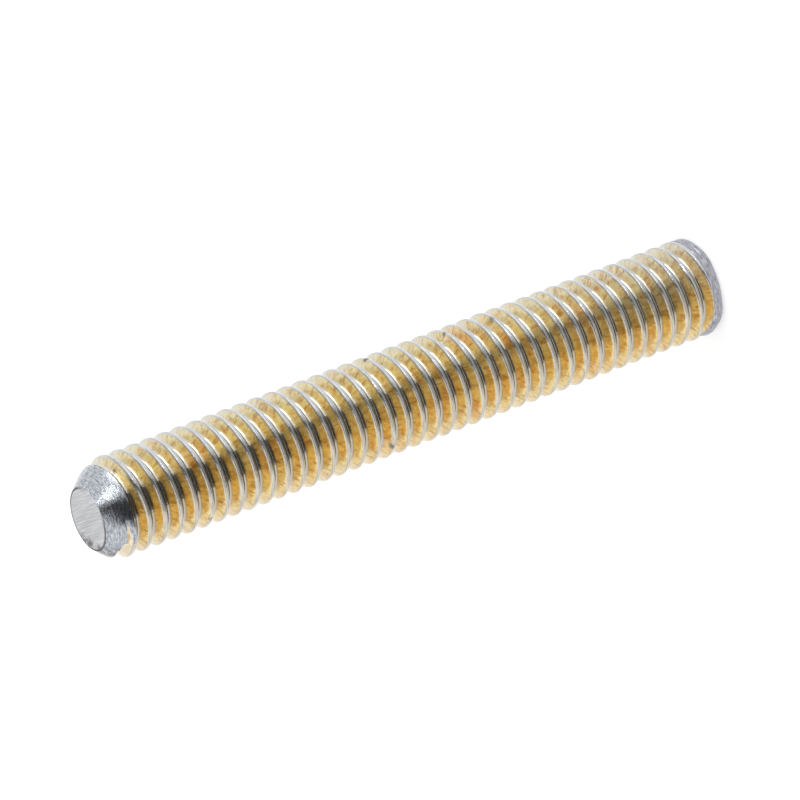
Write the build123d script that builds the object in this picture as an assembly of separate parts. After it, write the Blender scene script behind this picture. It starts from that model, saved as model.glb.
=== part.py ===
"""Stud bolt: a short length of rolled M6 threaded rod, sawn off at one end and ground by hand at the other.

The stud stands on its sawn end. The origin is where the rod's axis meets that end, and +Z runs up the axis.
"""

import os
from math import ceil, radians, tan

from build123d import *

os.makedirs("parts", exist_ok=True)

# Driving dimensions, in millimetres and degrees
length = 40.9  # from the sawn end face to the ground end face
crest_diameter = 5.82  # over the crests of the thread
pitch = 1.0  # single start, right hand
crest_flat = 0.125  # width of the land along each crest
root_flat = 0.17  # width of the floor along each groove
flank_angle = 60  # between the two sides of a groove
first_crest_height = 0.95  # of the lowest whole crest above the sawn end, on the +X side

# Ground end: the chamfer was dressed by hand, so it sits a little off the rod's axis
ground_face_diameter = 3.7
ground_chamfer_angle = 40  # between the chamfer and the rod's axis
ground_offset_x = -0.17
ground_offset_y = 0.16

# Sawn end: the saw smeared the last groove shut into a plain rim, and its broken edge sits off the axis
sawn_face_diameter = 5.2
sawn_chamfer_angle = 45  # between the broken edge and the rod's axis
sawn_offset_x = 0.12
sawn_rim_diameter = 5.6
sawn_rim_height = 0.6

# Each turn of the helix is drawn with this many straight chords
chords_per_turn = 20
# Turns that the thread runs on below the sawn end before the rod is cut to length
spare_turns = 2

# The thread's form follows from the sizes above
crest_radius = crest_diameter / 2
flank_run = (pitch - crest_flat - root_flat) / 2
thread_depth = flank_run / tan(radians(flank_angle / 2))
root_radius = crest_radius - thread_depth
crest_start = root_flat + flank_run
crest_end = crest_start + crest_flat
crest_middle = (crest_start + crest_end) / 2

# Radius and height of each corner of the thread's profile over one pitch, from groove to groove
thread_profile = [
    (root_radius, 0),
    (root_radius, root_flat),
    (crest_radius, crest_start),
    (crest_radius, crest_end),
    (root_radius, pitch),
]


def helix(radius, start):
    """One turn of a right-hand helix, drawn with straight chords from the +X side at the start height."""
    shares = [chord / chords_per_turn for chord in range(chords_per_turn + 1)]
    first = Vector(radius, 0, start)
    rise = Vector(0, 0, pitch)
    corners = [first.rotate(Axis.Z, 360 * share) + rise * share for share in shares]
    return Wire.make_polygon(corners, close=False)


def ruled_panels(lower, upper):
    """The ruled panels that span two helices chord by chord."""
    return Face.make_surface_from_curves(lower, upper).faces()


def threaded_rod():
    """A threaded rod that reaches past both ends of the stud, with its spiral ends closed on the rod's axis.

    One turn of the floor, flanks and crest is made once and repeated at every pitch. Each end is closed by
    a spiral ramp from the groove in to the axis and by a flat section of the thread at the ramp's step.
    """
    helices = [helix(radius, height) for radius, height in thread_profile]
    turn = [panel for lower, upper in zip(helices, helices[1:]) for panel in ruled_panels(lower, upper)]
    ramp = ruled_panels(helix(0, 0), helices[0])
    corners = [(radius, 0, height) for radius, height in thread_profile]
    step = Face(Wire.make_polygon([(0, 0, 0), *corners, (0, 0, pitch)]))

    start = first_crest_height - crest_middle - spare_turns * pitch
    turns = ceil((length - start) / pitch)
    heights = [start + turn_number * pitch for turn_number in range(turns + 1)]
    thread = [panel.moved(Pos(0, 0, height)) for height in heights[:-1] for panel in turn]
    ends = [face.moved(Pos(0, 0, height)) for height in (heights[0], heights[-1]) for face in [*ramp, step]]
    return Solid(Shell(thread + ends))


def end_cone(face_diameter, angle):
    """A cone as tall as the stud that leaves an end face of this diameter at its foot and opens upwards."""
    face_radius = face_diameter / 2
    widest = face_radius + length * tan(radians(angle))
    return Cone(face_radius, widest, length, align=(Align.CENTER, Align.CENTER, Align.MIN))


def stud():
    """The rod cut to length between its two chamfers, with the plain rim that the saw left."""
    sawn_end = Pos(sawn_offset_x, 0, 0) * end_cone(sawn_face_diameter, sawn_chamfer_angle)
    ground_end = Pos(ground_offset_x, ground_offset_y, length) * Rot(X=180) * end_cone(
        ground_face_diameter, ground_chamfer_angle
    )
    rim = Cylinder(sawn_rim_diameter / 2, sawn_rim_height, align=(Align.CENTER, Align.CENTER, Align.MIN))
    return (threaded_rod() & (sawn_end & ground_end)) + (rim & sawn_end)


export_step(stud(), "parts/stud.step")
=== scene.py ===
"""Stud bolt in yellow-plated steel, dressed for its portrait, with its floor, light and camera."""

from types import SimpleNamespace

import bpy
import numpy as np
from mathutils import Matrix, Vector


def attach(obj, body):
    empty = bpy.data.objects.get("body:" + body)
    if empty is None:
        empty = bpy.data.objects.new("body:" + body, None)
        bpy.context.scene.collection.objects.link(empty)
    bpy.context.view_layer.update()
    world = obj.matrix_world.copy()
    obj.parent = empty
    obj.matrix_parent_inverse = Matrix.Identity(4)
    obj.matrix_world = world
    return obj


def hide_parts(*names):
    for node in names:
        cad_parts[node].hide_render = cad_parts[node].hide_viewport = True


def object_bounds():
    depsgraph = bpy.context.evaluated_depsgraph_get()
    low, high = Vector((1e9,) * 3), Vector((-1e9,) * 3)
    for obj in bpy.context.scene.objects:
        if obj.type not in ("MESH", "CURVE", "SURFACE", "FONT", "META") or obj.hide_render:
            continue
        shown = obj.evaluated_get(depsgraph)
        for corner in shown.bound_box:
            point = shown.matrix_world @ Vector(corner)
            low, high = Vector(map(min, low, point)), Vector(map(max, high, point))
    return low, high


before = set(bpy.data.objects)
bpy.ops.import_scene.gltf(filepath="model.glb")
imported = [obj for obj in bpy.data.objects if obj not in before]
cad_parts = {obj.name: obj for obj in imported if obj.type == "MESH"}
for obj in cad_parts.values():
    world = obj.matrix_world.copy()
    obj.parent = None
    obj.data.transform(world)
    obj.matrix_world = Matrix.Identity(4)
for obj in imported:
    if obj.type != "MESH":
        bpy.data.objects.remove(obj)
solid_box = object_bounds()
bpy.context.scene.view_settings.view_transform = "Standard"


# The stud
# A short length of low-carbon steel rod, its thread rolled between dies, so that each crest is two lips
# of metal with a seam between them. The rod was zinc plated and yellow passivated, then sawn to length,
# and one end was dressed by hand on a grinding wheel.

# Sizes are in millimetres, and the solid gives the length and the radius over the crests
PER_METRE = 1000
LENGTH = round(PER_METRE * solid_box[1][2], 3)
CREST_RADIUS = round(PER_METRE * solid_box[1][0], 3)
PITCH = 1.0
FIRST_CREST = 0.95  # height of the lowest whole crest, on the +X side
CREST_HALF_FLAT = 0.066
ROOT_ROUNDING = 0.13
HALF_FLANK_ANGLE = np.radians(30)
COLUMNS = 72  # of the mesh in one turn

# Rows of the thread's profile over one pitch, from the crest's middle, + towards the ground end: evenly
# spaced on the root's arc, and close together on the two lips of the crest
ROOT_ROWS = np.linspace(0.388, 0.5, 5)
LIP_ROWS = [
    -0.30, -0.19, -0.12, -0.09, -0.076, -0.068, -0.06, -0.046, -0.034, -0.026, -0.018, -0.012, -0.006,
    0.01, 0.034, 0.050, 0.056, 0.064, 0.074, 0.088, 0.11, 0.14, 0.25,
]
PROFILE_ROWS = np.concatenate([-ROOT_ROWS[::-1], LIP_ROWS, ROOT_ROWS])

# Ground end: a cone that bulges a little, on an axis of its own beside the rod's
GROUND_AXIS_X, GROUND_AXIS_Y = -0.17, 0.16
GROUND_FACE_RADIUS = 1.85
GROUND_SLOPE = 1.02  # radius gained for each millimetre down from the face
GROUND_BULGE = 0.18  # lost again with the square of the way down
GROUND_REACH = 2.8  # where the cone stops growing, below the face

# Sawn end: a short cone beside the rod's axis, and the rim that the saw smeared out of the last groove
SAWN_FACE_RADIUS = 2.6
SAWN_OFFSET = 0.12
SAWN_CORNERS = [(-61.6, 0.10), (-140.6, 0.13)]  # angle in degrees from +X, then how far it stands out
RIM_RADIUS = 2.86
RIM_HEIGHT = 0.66
FOLD_HEIGHT = 0.44  # of a shallow fold around the rim
FOLD_ANGLE = -38  # where the fold is deepest, in degrees from +X

# Dents: angle in degrees from +X, then radius, height, depth, length along the crest and half width
DENTS = [
    (-44.0, 2.47, 39.19, 0.04, 0.24, 0.14),
    (-169.2, 2.85, 35.87, 0.16, 0.22, 0.16),
    (-153.5, 2.85, 34.53, 0.12, 0.20, 0.14),
    (-148.1, 2.85, 22.74, 0.15, 0.30, 0.15),
    (-34.6, 2.85, 14.18, 0.13, 0.34, 0.18),
    (-27.8, 2.85, 17.07, 0.14, 0.22, 0.15),
    (-19.2, 2.85, 21.96, 0.08, 0.24, 0.14),
    (62.0, 2.85, 28.10, 0.12, 0.30, 0.15),
    (118.0, 2.85, 9.40, 0.14, 0.26, 0.16),
    (151.0, 2.85, 19.30, 0.10, 0.34, 0.15),
]


def ease(share):
    """A share from 0 to 1 that starts and stops gently: three times its square, less twice its cube."""
    return share * share * (3 - 2 * share)


def bell(distance, width):
    """A bell curve: e to the power of minus the square of the distance over the width."""
    return np.exp(-(distance / width) ** 2)


def turned_from(angle, degrees):
    """The angle from a direction given in degrees, from minus half a turn to half a turn."""
    return np.angle(np.exp(1j * (angle - np.radians(degrees))))


def soft_least(first, second, blend):
    """The smaller of two sizes, with the corner between them rounded over about the blend length."""
    return -blend * np.logaddexp(-first / blend, -second / blend)


def soft_greatest(first, second, blend):
    """The greater of two sizes, with the corner between them rounded in the same way."""
    return -soft_least(-first, -second, blend)


def wander(along, step, seed):
    """A smooth value from -1 to 1 that wanders along a path, with a new random level every step."""
    count = 4096
    levels = np.random.default_rng(seed).uniform(-1, 1, count)
    before = np.floor(along / step).astype(int)
    share = ease(along / step - before)
    return levels[before % count] * (1 - share) + levels[(before + 1) % count] * share


def thread_radius(from_crest, along):
    """Radius of the rolled thread at a distance from the crest's middle, at a place along the helix.

    The flanks stand at sixty degrees to each other, and the root is an arc that touches both. The crest
    is the higher of two lips, with a seam where they meet: a wide one that rises in a straight line towards
    the sawn side, and a thin flat one with a bevel on each side.
    """
    wide_height = -0.024 + 0.004 * wander(along, step=0.7, seed=6)
    wide_rise = 0.205 + 0.03 * wander(along, step=5.3, seed=4)
    wide_lip = wide_height - wide_rise * from_crest

    thin_height = -0.004 + 0.005 * wander(along, step=1.3, seed=5)
    thin_middle, thin_half_width, edge_rounding = 0.022, 0.028, 0.015
    past_edge = np.maximum(np.abs(from_crest - thin_middle) - thin_half_width, 0)
    bevel_slope = 1.4 + 0.2 * wander(along, step=3.1, seed=3)
    thin_lip = thin_height - bevel_slope * (np.hypot(past_edge, edge_rounding) - edge_rounding)

    drop = 0.013 - 0.008 * wander(along, step=1.9, seed=1)
    crest = CREST_RADIUS - drop + soft_greatest(wide_lip, thin_lip, blend=0.003)
    flank = CREST_RADIUS - (np.abs(from_crest) - CREST_HALF_FLAT) / np.tan(HALF_FLANK_ANGLE)
    ridge = soft_least(crest, flank, blend=0.009)
    from_root = np.minimum(PITCH / 2 - np.abs(from_crest), ROOT_ROUNDING * np.cos(HALF_FLANK_ANGLE))
    flanks_meet = CREST_RADIUS - (PITCH / 2 - CREST_HALF_FLAT) / np.tan(HALF_FLANK_ANGLE)
    arc_middle = flanks_meet + ROOT_ROUNDING / np.sin(HALF_FLANK_ANGLE)
    root = arc_middle - np.sqrt(ROOT_ROUNDING ** 2 - from_root ** 2)
    return np.maximum(ridge, root)


def ground_radius(angle, height):
    """Radius of the ground chamfer about the rod's axis.

    About its own axis the chamfer grows in proportion to the way down from the face, less its square
    times the bulge. Seen from the rod's axis, that circle stands off by the offset between the two axes.
    """
    below = np.minimum(LENGTH - height, GROUND_REACH)
    cone = GROUND_FACE_RADIUS + GROUND_SLOPE * below - GROUND_BULGE * below ** 2
    towards = GROUND_AXIS_X * np.cos(angle) + GROUND_AXIS_Y * np.sin(angle)
    across = GROUND_AXIS_X * np.sin(angle) - GROUND_AXIS_Y * np.cos(angle)
    return towards + np.sqrt(cone ** 2 - across ** 2)


def sawn_radius(angle, height):
    """Radius of the broken edge about the rod's axis: a short cone beside it, with two corners left on it."""
    spread = np.radians(16)
    corners = sum(size * bell(turned_from(angle, degrees), spread) for degrees, size in SAWN_CORNERS)
    cone = SAWN_FACE_RADIUS + corners + height
    return SAWN_OFFSET * np.cos(angle) + np.sqrt(cone ** 2 - (SAWN_OFFSET * np.sin(angle)) ** 2)


def stud_radius(angle, height, from_crest, along):
    """Radius of the whole stud: the thread with its dents, smeared metal at both ends, and the end cones."""
    radius = thread_radius(from_crest, along)
    for degrees, _, dent_height, depth, length, half_width in DENTS:
        sideways = turned_from(angle, degrees) * CREST_RADIUS
        radius = radius - depth * bell(sideways, length) * bell(height - dent_height, half_width)

    # Grinding pushed metal into the groove just below the last crest, and filled it up to the chamfer
    last_crest, last_run = LENGTH - 0.42, 0.14
    fill_start, fill_run, fill_height = 0.75, 0.16, 0.8
    crest_height = FIRST_CREST + PITCH * angle / (2 * np.pi)
    crest_above = np.where(from_crest > 0, PITCH, 0)
    last_turn = np.clip((crest_height + crest_above - last_crest) / last_run, 0, 1)
    under_crest = np.clip((from_crest - crest_above + fill_start) / fill_run, 0, 1)
    radius = radius + fill_height * ease(last_turn * under_crest)

    # The saw smeared the groove at its own end shut into a rim, which stops in a slope and has a fold in it
    rim_slope, fold_depth, fold_half_height, fold_spread = 2, 0.05, 0.09, np.radians(30)
    fold_share = 0.4 + 0.6 * bell(turned_from(angle, FOLD_ANGLE), fold_spread)
    fold = fold_depth * fold_share * bell(height - FOLD_HEIGHT, fold_half_height)
    rim = RIM_RADIUS - np.maximum(height - RIM_HEIGHT, 0) * rim_slope - fold

    edge_blend = 0.02
    radius = soft_greatest(radius, rim, edge_blend)
    radius = soft_least(radius, sawn_radius(angle, height), edge_blend)
    radius = soft_least(radius, ground_radius(angle, height), edge_blend)
    radius = np.where(height <= 0, sawn_radius(angle, 0.0), radius)
    return np.where(height >= LENGTH, ground_radius(angle, LENGTH), radius)


def thread_surface():
    """The threaded side: the profile carried along the helix.

    A point's height is the helix's plus the row's, drawn back to the end plane where it passes one, and its
    distance from the axis is the stud's radius there.
    """
    first_turn, last_turn = -2, int(np.ceil(LENGTH / PITCH)) + 1
    steps = np.arange(first_turn * COLUMNS, last_turn * COLUMNS + 1)[:, None]
    angle = 2 * np.pi * steps / COLUMNS
    height = np.clip(FIRST_CREST + PITCH * steps / COLUMNS + PROFILE_ROWS, 0, LENGTH)
    lead_in = 100  # so that the way along the helix starts above 0
    along = angle * CREST_RADIUS + lead_in
    angle, from_crest, along = (np.broadcast_to(part, height.shape) for part in (angle, PROFILE_ROWS, along))
    radius = stud_radius(angle, height, from_crest, along)
    return np.stack([radius * np.cos(angle), radius * np.sin(angle), height], -1)


def end_face_surface(height, rim_radius, shares):
    """An end face: rings at shares of the rim's own outline, drawn in to a pole at the face's middle."""
    angle = 2 * np.pi * np.arange(COLUMNS + 1)[:, None] / COLUMNS
    rim = np.stack([rim_radius(angle) * np.cos(angle), rim_radius(angle) * np.sin(angle)], -1)
    middle = rim[:-1].mean((0, 1))
    flat = middle + (rim - middle) * np.asarray(shares)[None, :, None]
    return np.concatenate([flat, np.full(flat.shape[:2] + (1,), height)], -1)


def joined_mesh(name, grids):
    """One mesh from grids of points in millimetres.

    Points that meet to a hundred-thousandth of a millimetre become one, and triangles without area go.
    """
    points, corners, first = [], [], 0
    for grid in grids:
        number = first + np.arange(grid.shape[0] * grid.shape[1]).reshape(grid.shape[:2])
        a, b, c, d = number[:-1, :-1], number[1:, :-1], number[1:, 1:], number[:-1, 1:]
        corners += [np.stack([a, b, c], -1).reshape(-1, 3), np.stack([a, c, d], -1).reshape(-1, 3)]
        points.append(grid.reshape(-1, 3))
        first += number.size
    points, corners = np.concatenate(points), np.concatenate(corners)
    steps_per_millimetre = 1e5
    rounded = np.round(points * steps_per_millimetre).astype(np.int64)
    _, kept, merged = np.unique(rounded, axis=0, return_index=True, return_inverse=True)
    corners = merged.reshape(-1)[corners]
    whole = (corners != np.roll(corners, 1, axis=1)).all(1)
    mesh = bpy.data.meshes.new(name)
    mesh.from_pydata(points[kept] / PER_METRE, [], corners[whole])
    mesh.shade_smooth()
    sharp_from = np.radians(42)
    mesh.set_sharp_from_angle(angle=sharp_from)
    return mesh


ring_shares = [1, 0.985, 0.95, 0.85, 0.7, 0.55, 0.4, 0.25, 0.1, 0]
stud = bpy.data.objects.new("stud_dressed", joined_mesh("stud_dressed", [
    thread_surface(),
    end_face_surface(LENGTH, lambda angle: ground_radius(angle, LENGTH), ring_shares),
    end_face_surface(0.0, lambda angle: sawn_radius(angle, 0.0), ring_shares[::-1]),
]))
bpy.context.scene.collection.objects.link(stud)


def add_node(tree, kind, settings=None, inputs=None):
    """A shader node with its settings, and each input set to a value or linked from another node's output."""
    made = tree.nodes.new(kind)
    for name, value in (settings or {}).items():
        setattr(made, name, value)
    for name, value in (inputs or {}).items():
        socket = made.inputs[name]
        if isinstance(value, bpy.types.NodeSocket):
            tree.links.new(value, socket)
        else:
            socket.default_value = value
    return made


def figure(tree, operation, *values):
    """The output of a Math node on numbers or other outputs."""
    return add_node(tree, "ShaderNodeMath", {"operation": operation}, dict(enumerate(values))).outputs[0]


def plus(tree, first, second):
    """The sum of two values."""
    return figure(tree, "ADD", first, second)


def less(tree, first, second):
    """The first value less the second."""
    return figure(tree, "SUBTRACT", first, second)


def times(tree, first, second):
    """The product of two values."""
    return figure(tree, "MULTIPLY", first, second)


def line(tree, value, gain, start):
    """A straight line: the value times a gain, plus a start."""
    return figure(tree, "MULTIPLY_ADD", value, gain, start)


def from_axis(tree, x, y):
    """The distance from an axis: the root of the sum of two squares."""
    return figure(tree, "SQRT", plus(tree, times(tree, x, x), times(tree, y, y)))


def ramp(tree, value, none, full):
    """A mask that goes smoothly from 0 where a value is at its first limit to 1 where it is at its second."""
    return add_node(tree, "ShaderNodeMapRange", {"interpolation_type": "SMOOTHSTEP"}, {
        "Value": value, "From Min": none, "From Max": full,
    }).outputs["Result"]


def stripe(tree, value, middle, edge, core):
    """A mask that is 1 where a value is within the core of a middle, and 0 from the edge outwards."""
    return ramp(tree, figure(tree, "ABSOLUTE", less(tree, value, middle)), edge, core)


def noise(tree, place, scale, detail=2.0, roughness=0.5):
    """Grey noise from 0 to 1 at a place."""
    return add_node(tree, "ShaderNodeTexNoise", {}, {
        "Vector": place, "Scale": scale, "Detail": detail, "Roughness": roughness,
    }).outputs["Fac"]


def unrolled(tree, first, second):
    """A place on the stud's surface laid out flat."""
    return add_node(tree, "ShaderNodeCombineXYZ", {}, {0: first, 1: second}).outputs[0]


def between(tree, share, first, second):
    """A value that goes from the first to the second as the share goes from 0 to 1."""
    return add_node(tree, "ShaderNodeMix", {"data_type": "FLOAT"}, {0: share, 2: first, 3: second}).outputs[0]


def blend_colour(tree, mask, under, over):
    """The colour under a mask, and the colour over it where the mask is 1."""
    return add_node(tree, "ShaderNodeMix", {"data_type": "RGBA"}, {0: mask, 6: under, 7: over}).outputs[2]


def stained(tree, colour, mask, strength, stain):
    """A colour with a stain over it where the mask is 1, at a strength from 0 to 1."""
    return blend_colour(tree, times(tree, mask, strength), colour, stain)


def helix_place_group():
    """Where a point lies on the stud, in millimetres.

    The height, less the share of a turn from +X, gives the whole turns that lie below and the part of one
    that is left. The part is the way across the thread. The whole turns and the angle are the way along it.
    """
    mean_radius = 2.6
    tree = bpy.data.node_groups.new("helix_place", "ShaderNodeTree")
    tree.interface.new_socket("Point", in_out="INPUT", socket_type="NodeSocketVector")
    for name in ("From Crest", "Along", "Radius", "Height", "X", "Y"):
        tree.interface.new_socket(name, in_out="OUTPUT", socket_type="NodeSocketFloat")
    entry = tree.nodes.new("NodeGroupInput")
    outlet = tree.nodes.new("NodeGroupOutput")
    point = add_node(tree, "ShaderNodeVectorMath", {"operation": "SCALE"}, {
        0: entry.outputs["Point"], "Scale": PER_METRE,
    })
    x, y, z = add_node(tree, "ShaderNodeSeparateXYZ", {}, {0: point.outputs[0]}).outputs
    turn = figure(tree, "DIVIDE", figure(tree, "ARCTAN2", y, x), 2 * np.pi)
    lift = less(tree, z, FIRST_CREST - PITCH / 2)
    across = figure(tree, "FRACT", less(tree, lift, turn))
    outputs = {
        "From Crest": less(tree, across, PITCH / 2),
        "Along": times(tree, less(tree, lift, across), 2 * np.pi * mean_radius),
        "Radius": from_axis(tree, x, y),
        "Height": z,
        "X": x,
        "Y": y,
    }
    for name, value in outputs.items():
        tree.links.new(value, outlet.inputs[name])
    return tree


def stud_places(tree):
    """What the stud's colours share: places in millimetres, and noises and masks from 0 to 1."""
    point = tree.nodes.new("ShaderNodeTexCoord").outputs["Object"]
    place = add_node(tree, "ShaderNodeGroup", {"node_tree": helix_place_group()}, {"Point": point}).outputs
    on = SimpleNamespace()
    on.from_crest, on.along, on.radius = place["From Crest"], place["Along"], place["Radius"]
    on.height, on.x, on.y = place["Height"], place["X"], place["Y"]
    on.millimetres = add_node(tree, "ShaderNodeVectorMath", {"operation": "SCALE"}, {
        0: point, "Scale": PER_METRE,
    }).outputs[0]

    # Noises: long marks along the thread, strokes across its flanks, and spots
    strip = unrolled(tree, times(tree, on.along, 0.22), times(tree, on.from_crest, 3.0))
    on.patch = noise(tree, strip, scale=1.3, detail=4.0, roughness=0.65)
    on.rub = noise(tree, strip, scale=4.5)
    on.streak = noise(tree, strip, scale=6.0)
    flank = unrolled(tree, on.along, times(tree, on.from_crest, 0.6))
    on.strokes = noise(tree, flank, scale=3.4, detail=4.0, roughness=0.7)
    on.mottle = noise(tree, on.millimetres, scale=2.6, detail=4.0, roughness=0.7)
    on.speck = noise(tree, on.millimetres, scale=4.0, roughness=0.6)

    # Painted sheen: the metal's colour is paled where it is seen at a slant, as the white room's reflection
    # would pale it at grazing angles
    on.lower_side = ramp(tree, on.x, 1.0, -1.0)
    slant = add_node(tree, "ShaderNodeLayerWeight", {}, {"Blend": 0.5}).outputs["Facing"]
    on.film_share = ramp(tree, line(tree, on.lower_side, -0.14, slant), 0.34, 0.62)
    on.film = blend_colour(tree, on.lower_side, (0.75, 0.76, 0.72, 1), (0.83, 0.75, 0.65, 1))

    # Ground chamfer: the way down from its face, out from its own axis and in from its surface
    on.below = figure(tree, "MINIMUM", less(tree, LENGTH, on.height), GROUND_REACH)
    bulge = times(tree, times(tree, on.below, on.below), GROUND_BULGE)
    cone = less(tree, line(tree, on.below, GROUND_SLOPE, GROUND_FACE_RADIUS), bulge)
    on.from_ground_axis = from_axis(tree, less(tree, on.x, GROUND_AXIS_X), less(tree, on.y, GROUND_AXIS_Y))
    on.chamfer_depth = less(tree, cone, on.from_ground_axis)

    # Masks: the pale floor of the groove, the rubbed crest with its seam, and the two bare ends
    root_radii, worn_radii, sawn_heights = (2.42, 2.36), (2.80, 2.84), (0.90, 0.80)
    uneven_root = times(tree, less(tree, on.strokes, 0.5), 0.12)
    on.root = ramp(tree, plus(tree, on.radius, uneven_root), *root_radii)
    uneven_rub = times(tree, less(tree, on.rub, 0.5), 0.08)
    more_rubbed = ramp(tree, on.height, 26.0, 40.0)
    on.worn = ramp(tree, plus(tree, on.radius, line(tree, more_rubbed, 0.03, uneven_rub)), *worn_radii)
    seam_line = stripe(tree, on.from_crest, middle=-0.030, edge=0.020, core=0.006)
    on.seam = times(tree, seam_line, ramp(tree, on.patch, 0.30, 0.50))
    on.face = ramp(tree, on.height, LENGTH - 0.03, LENGTH - 0.01)
    near_face = ramp(tree, on.height, LENGTH - 0.06, LENGTH - 0.02)
    ground = figure(tree, "MAXIMUM", ramp(tree, on.chamfer_depth, 0.07, 0.03), near_face)
    on.sawn = ramp(tree, plus(tree, on.height, times(tree, on.rub, 0.2)), *sawn_heights)
    on.bare = figure(tree, "MAXIMUM", ground, on.sawn)

    # Grinding marks: straight across the face, and around the chamfer
    scratched = add_node(tree, "ShaderNodeMapping", {}, {
        "Vector": on.millimetres, "Rotation": (0, 0, np.radians(7)), "Scale": (12.0, 0.4, 1.0),
    }).outputs[0]
    on.face_marks = noise(tree, scratched, scale=1.0, detail=4.0, roughness=0.7)
    around = unrolled(tree, times(tree, on.along, 2.8), times(tree, on.height, 12.0))
    on.chamfer_marks = noise(tree, around, scale=1.0, detail=4.0, roughness=0.7)
    on.marks = between(tree, on.face, on.chamfer_marks, on.face_marks)
    return on


def passivation_colour(tree, on):
    """Passivation: olive to amber with red patches, brown strokes, a pale root, painted shade under each
    crest and a painted sheen at a slant.
    """
    olive, amber = (0.74, 0.65, 0.37, 1), (0.79, 0.57, 0.20, 1)
    uneven = times(tree, less(tree, on.patch, 0.5), 2.4)
    amber_share = plus(tree, times(tree, on.lower_side, 0.6), uneven)
    colour = blend_colour(tree, ramp(tree, amber_share, -0.1, 0.9), olive, amber)

    cloud = noise(tree, on.millimetres, scale=0.35, detail=3.0, roughness=0.6)
    near_sawn_end = times(tree, ramp(tree, on.height, 16.0, 1.0), ramp(tree, on.x, -2.0, 1.4))
    red, pale, straw = (0.74, 0.39, 0.12, 1), (0.65, 0.61, 0.49, 1), (0.86, 0.75, 0.46, 1)
    brown, dark_brown, black_brown = (0.60, 0.32, 0.08, 1), (0.44, 0.23, 0.06, 1), (0.25, 0.14, 0.06, 1)
    stains = [
        (ramp(tree, cloud, 0.52, 0.70), 0.6, red),
        (near_sawn_end, 0.75, pale),
        (ramp(tree, on.mottle, 0.50, 0.36), 0.45, straw),
        (ramp(tree, on.mottle, 0.50, 0.66), 0.7, brown),
        (ramp(tree, on.strokes, 0.50, 0.66), 0.75, dark_brown),
        (ramp(tree, on.speck, 0.66, 0.78), 0.6, black_brown),
    ]
    for mask, strength, stain in stains:
        colour = stained(tree, colour, mask, strength, stain)

    root_colour = blend_colour(tree, on.lower_side, (0.72, 0.68, 0.58, 1), (0.52, 0.47, 0.37, 1))
    colour = blend_colour(tree, on.root, colour, root_colour)
    # Painted shade: a near-black band in the far half of each groove, tucked under the crest above it
    shade_under_crest = (0.10, 0.09, 0.07, 1)
    under_crest = ramp(tree, line(tree, on.strokes, 0.10, on.from_crest), -0.31, -0.38)
    colour = stained(tree, colour, under_crest, 0.9, shade_under_crest)
    # Painted sheen: a paler colour where the plating is seen at a slant
    colour = stained(tree, colour, on.film_share, line(tree, on.lower_side, -0.14, 0.58), on.film)
    burnished = (0.80, 0.74, 0.60, 1)
    beside_chamfer = times(tree, ramp(tree, on.chamfer_depth, 0.55, 0.15), ramp(tree, on.below, 1.6, 1.2))
    return stained(tree, colour, beside_chamfer, 0.7, burnished)


def crest_colour(tree, on):
    """Crest: rubbed down to the zinc and steel, in streaks along the thread, with dirt and painted shade in
    the seam, and a painted sheen at a slant.
    """
    streaks = ramp(tree, on.streak, 0.35, 0.7)
    steel = blend_colour(tree, streaks, (0.46, 0.48, 0.51, 1), (0.67, 0.68, 0.70, 1))
    warm_steel = blend_colour(tree, streaks, (0.50, 0.45, 0.36, 1), (0.70, 0.65, 0.54, 1))
    colour = stained(tree, steel, on.lower_side, 0.8, warm_steel)
    # Dirt and painted shade darken the seam between the crest's two lips
    seam_dirt_and_shade = (0.12, 0.12, 0.14, 1)
    colour = stained(tree, colour, on.seam, 0.7, seam_dirt_and_shade)
    # Painted sheen: a paler colour where the crest is seen at a slant
    return stained(tree, colour, on.film_share, 0.62, on.film)


def towards(tree, on, degrees):
    """How far a point lies from the rod's axis towards a direction, in degrees from +X."""
    turn = np.radians(degrees)
    return plus(tree, times(tree, on.x, np.cos(turn)), times(tree, on.y, np.sin(turn)))


def bare_end_colour(tree, on):
    """Ends: bare steel in streaks, with a painted shade line around the ground face and a burr on the
    chamfer.
    """
    chamfer_streaks = ramp(tree, on.chamfer_marks, 0.28, 0.72)
    chamfer_steel = blend_colour(tree, chamfer_streaks, (0.22, 0.23, 0.26, 1), (0.68, 0.72, 0.77, 1))
    face_streaks = ramp(tree, on.face_marks, 0.25, 0.75)
    face_steel = blend_colour(tree, face_streaks, (0.50, 0.51, 0.53, 1), (0.82, 0.83, 0.84, 1))
    colour = blend_colour(tree, on.face, chamfer_steel, face_steel)

    painted_rim_shade, burr_shade = (0.10, 0.10, 0.11, 1), (0.17, 0.14, 0.14, 1)
    # Painted shade: a dark line around the ground face's rim, left off on the lit side towards -60 degrees
    rim_shade_line = stripe(tree, on.from_ground_axis, middle=GROUND_FACE_RADIUS - 0.03, edge=0.09, core=0.03)
    rim_shade_line = times(tree, rim_shade_line, ramp(tree, towards(tree, on, -60), 1.5, 0.7))
    colour = stained(tree, colour, rim_shade_line, 0.85, painted_rim_shade)
    ragged = ramp(tree, plus(tree, on.mottle, times(tree, on.speck, 0.5)), 0.62, 0.84)
    burr = times(tree, ramp(tree, towards(tree, on, 150), 1.25, 1.75), ragged)
    colour = stained(tree, colour, burr, 0.85, burr_shade)

    sawn_streaks = ramp(tree, on.chamfer_marks, 0.3, 0.7)
    sawn_steel = blend_colour(tree, sawn_streaks, (0.22, 0.22, 0.25, 1), (0.52, 0.52, 0.58, 1))
    return blend_colour(tree, on.sawn, colour, sawn_steel)


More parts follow.
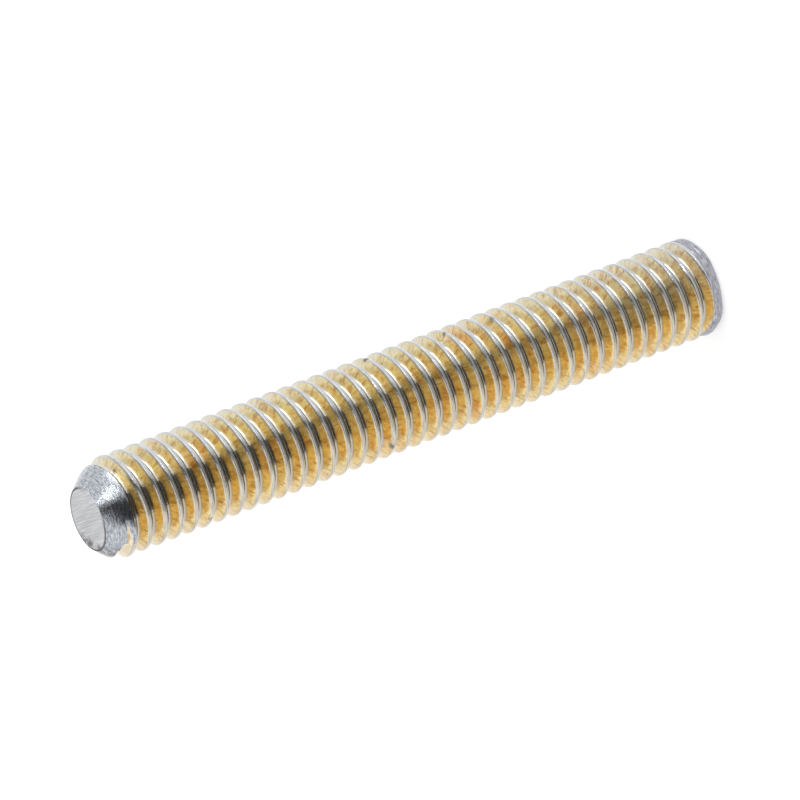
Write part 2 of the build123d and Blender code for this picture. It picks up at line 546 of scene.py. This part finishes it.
def stud_colour(tree, on):
    """The stud's colour: passivation, worn crests with painted shade at their foot, bare ends, and darker
    patches in the dents.
    """
    colour = blend_colour(tree, on.worn, passivation_colour(tree, on), crest_colour(tree, on))
    crest_foot_shade, dent_darkening = (0.14, 0.13, 0.10, 1), (0.10, 0.09, 0.08, 1)
    # Painted shade: a dark line at the foot of each crest, on the +X side only
    crest_foot = stripe(tree, on.from_crest, middle=0.125, edge=0.035, core=0.010)
    foot_side = times(tree, ramp(tree, on.x, 0.2, 1.2), ramp(tree, on.x, 2.5, 1.8))
    colour = stained(tree, colour, times(tree, crest_foot, foot_side), 0.6, crest_foot_shade)
    colour = blend_colour(tree, on.bare, colour, bare_end_colour(tree, on))
    # Darker patches around each dent, broken up by the mottle
    patchy = ramp(tree, on.mottle, 0.64, 0.46)
    for degrees, radius, height, _, length, _ in DENTS:
        dent = (radius * np.cos(np.radians(degrees)), radius * np.sin(np.radians(degrees)), height)
        far = add_node(tree, "ShaderNodeVectorMath", {"operation": "DISTANCE"}, {0: on.millimetres, 1: dent})
        near = ramp(tree, far.outputs["Value"], 1.3 * length, 0.25 * length)
        colour = blend_colour(tree, times(tree, near, patchy), colour, dent_darkening)
    return colour


def plated_steel_material():
    """Yellow passivation in the grooves, bright steel on the worn crests, and bare steel at both ends."""
    material = bpy.data.materials.new("worn_yellow_plating")
    material.use_nodes = True
    tree = material.node_tree
    tree.nodes.clear()
    on = stud_places(tree)

    grain = noise(tree, on.millimetres, scale=7.0, detail=3.0, roughness=0.6)
    root_roughness = 0.12
    satin = between(tree, on.root, line(tree, grain, 0.16, 0.13), root_roughness)
    polish = line(tree, on.seam, 0.20, line(tree, on.streak, 0.12, 0.13))
    dressed = line(tree, on.face, 0.42, line(tree, on.marks, 0.10, 0.11))
    rough = between(tree, on.bare, between(tree, on.worn, satin, polish), dressed)
    relief = between(tree, on.bare, grain, times(tree, on.marks, 1.4))
    relief_height = 0.00004  # metres
    bump = add_node(tree, "ShaderNodeBump", {}, {
        "Height": relief, "Strength": 0.25, "Distance": relief_height,
    })
    plated = less(tree, 1.0, figure(tree, "MAXIMUM", on.worn, on.bare))
    surface = add_node(tree, "ShaderNodeBsdfPrincipled", {}, {
        "Base Color": stud_colour(tree, on),
        "Metallic": 1.0,
        "Roughness": rough,
        "Normal": bump.outputs["Normal"],
        "Coat Weight": times(tree, plated, 0.6),
        "Coat Roughness": 0.12,
    })
    tree.links.new(surface.outputs["BSDF"], tree.nodes.new("ShaderNodeOutputMaterial").inputs["Surface"])
    return material


stud.data.materials.append(plated_steel_material())
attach(stud, "root")
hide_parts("stud")


# The floor
# A wide sheet of matt white board that the sawn end stands on. It glows where it is seen straight or in
# a reflection, so that it runs out of the picture as white, and it keeps the stud's soft shadow.

half_width = 2  # metres
board_grey = 0.55
board_glow = 0.55
floor_mesh = bpy.data.meshes.new("floor")
floor_mesh.from_pydata([
    (-half_width, -half_width, 0), (half_width, -half_width, 0),
    (half_width, half_width, 0), (-half_width, half_width, 0),
], [], [(0, 1, 2, 3)])
floor = bpy.data.objects.new("floor", floor_mesh)
bpy.context.scene.collection.objects.link(floor)
board = bpy.data.materials.new("white_board")
board.use_nodes = True
tree = board.node_tree
tree.nodes.clear()
rays = tree.nodes.new("ShaderNodeLightPath").outputs
seen_or_mirrored = figure(tree, "MAXIMUM", rays["Is Camera Ray"], rays["Is Glossy Ray"])
seen = figure(tree, "MAXIMUM", seen_or_mirrored, rays["Is Transmission Ray"])
matt = add_node(tree, "ShaderNodeBsdfDiffuse", {}, {"Color": (board_grey, board_grey, board_grey, 1)})
glow = add_node(tree, "ShaderNodeEmission", {}, {
    "Color": (1, 1, 1, 1), "Strength": times(tree, seen, board_glow),
})
both = add_node(tree, "ShaderNodeAddShader", {}, {0: matt.outputs[0], 1: glow.outputs[0]})
tree.links.new(both.outputs[0], tree.nodes.new("ShaderNodeOutputMaterial").inputs["Surface"])
floor_mesh.materials.append(board)


# The light
# A white room with three soft lamps. Felt screens in front and above, and mats on the floor, show only in
# reflections, and draw the dark lines that metal needs to look round.

world = bpy.data.worlds.new("white_room")
bpy.context.scene.world = world
world.use_nodes = True
world.node_tree.nodes["Background"].inputs["Color"].default_value = (1, 1, 1, 1)
world.node_tree.nodes["Background"].inputs["Strength"].default_value = 1.0


def soft_lamp(name, place, aim, size, power):
    """A rectangular lamp at a place in metres, turned to face a point, with its power in watts."""
    light = bpy.data.lights.new(name, "AREA")
    light.shape = "RECTANGLE"
    light.size, light.size_y = size
    light.energy = power
    lamp = bpy.data.objects.new(name, light)
    back = np.subtract(place, aim) / np.linalg.norm(np.subtract(place, aim))
    side = np.cross((0, 0, 1), back) / np.linalg.norm(np.cross((0, 0, 1), back))
    turn = np.stack([side, np.cross(back, side), back], 1)
    lamp.matrix_world = Matrix.Translation(place) @ Matrix(turn.tolist()).to_4x4()
    lamp.visible_camera = False
    bpy.context.scene.collection.objects.link(lamp)


soft_lamp("side_lamp", place=(0.373, -0.143, 0.13), aim=(0, 0, 0.02), size=(0.29, 0.14), power=0.40)
soft_lamp("small_lamp", place=(0.205, -0.163, 0.31), aim=(0, 0, 0.035), size=(0.036, 0.036), power=0.08)
soft_lamp("fill_lamp", place=(-0.18, 0.14, 0.34), aim=(0, 0, 0.02), size=(0.30, 0.26), power=0.05)


def sheet_surface(way, left, right):
    """A sheet that follows a way of points out from the rod and up, between a left and a right edge.

    The first parameter is the share of the way and the second the share from edge to edge. The way and the
    edges are straight between their points.
    """
    rows, columns = 40, 12
    share = np.linspace(0, 1, rows)[:, None]
    side = np.linspace(0, 1, columns)[None, :]
    knots = np.linspace(0, 1, len(way))
    out, up = (np.interp(share, knots, part) for part in zip(*way))
    across = np.interp(share, knots, left) * (1 - side) + np.interp(share, knots, right) * side
    return np.stack(np.broadcast_arrays(across, -out, up), -1)


def felt_screen(name, surface, grey):
    """A matt sheet of felt that shows only in reflections."""
    screen = bpy.data.objects.new(name, joined_mesh(name, [surface * PER_METRE]))
    bpy.context.scene.collection.objects.link(screen)
    felt = bpy.data.materials.new(name)
    felt.use_nodes = True
    surface_inputs = felt.node_tree.nodes["Principled BSDF"].inputs
    surface_inputs["Base Color"].default_value = (grey, grey, grey, 1)
    surface_inputs["Roughness"].default_value = 1.0
    screen.data.materials.append(felt)
    screen.visible_camera = False
    screen.visible_diffuse = False
    screen.visible_shadow = False


def floor_mat(name, near, far, left, right, grey):
    """A felt mat on the floor from a near to a far line in front of the rod, with its edges given on each."""
    lift = 0.0004
    felt_screen(name, sheet_surface([(near, lift), (far, lift)], left, right), grey)


floor_mat("near_mat", near=0.006, far=0.016, left=[-0.008, -0.020], right=[0.0004, 0.001], grey=0.43)
floor_mat("grey_mat", near=0.016, far=0.07, left=[-0.020, -0.0895], right=[0.001, 0.0043], grey=0.74)
floor_mat("dark_mat", near=0.006, far=0.07, left=[0.0004, 0.0043], right=[0.004, 0.054], grey=0.44)
floor_mat("apron", near=0.07, far=0.13, left=[-0.0895, -0.166], right=[0.0327, 0.06], grey=0.14)
felt_screen("front_screen", sheet_surface(
    way=[(0.13, 0.0004), (0.16, 0.10), (0.13, 0.18), (0.09, 0.21)],
    left=[-0.166, -0.200, -0.150, -0.095],
    right=[0.060, 0.060, 0.062, 0.060],
), grey=0.07)
felt_screen("top_screen", sheet_surface(
    way=[(0.09, 0.2105), (0.0, 0.22), (-0.08, 0.21), (-0.14, 0.17)],
    left=[0.0, 0.0, 0.0, 0.0],
    right=[0.060, 0.054, 0.052, 0.045],
), grey=0.10)


# The camera
# A long lens about half a metre away, which looks down on the stud by 27 degrees. It is rolled so that the
# rod lies across the picture with its ground end nearer.

lens = bpy.data.cameras.new("camera")
lens.lens = 378
lens.sensor_width = 36
camera = bpy.data.objects.new("camera", lens)
right = (-0.3547, -0.4214, -0.8348)
up = (0.9351, -0.1600, -0.3166)
back = (0.0, -0.8927, 0.4506)
place = (-0.000143, -0.42077, 0.23280)
camera.matrix_world = Matrix([*zip(right, up, back, place), (0, 0, 0, 1)])
bpy.context.scene.collection.objects.link(camera)
bpy.context.scene.camera = camera
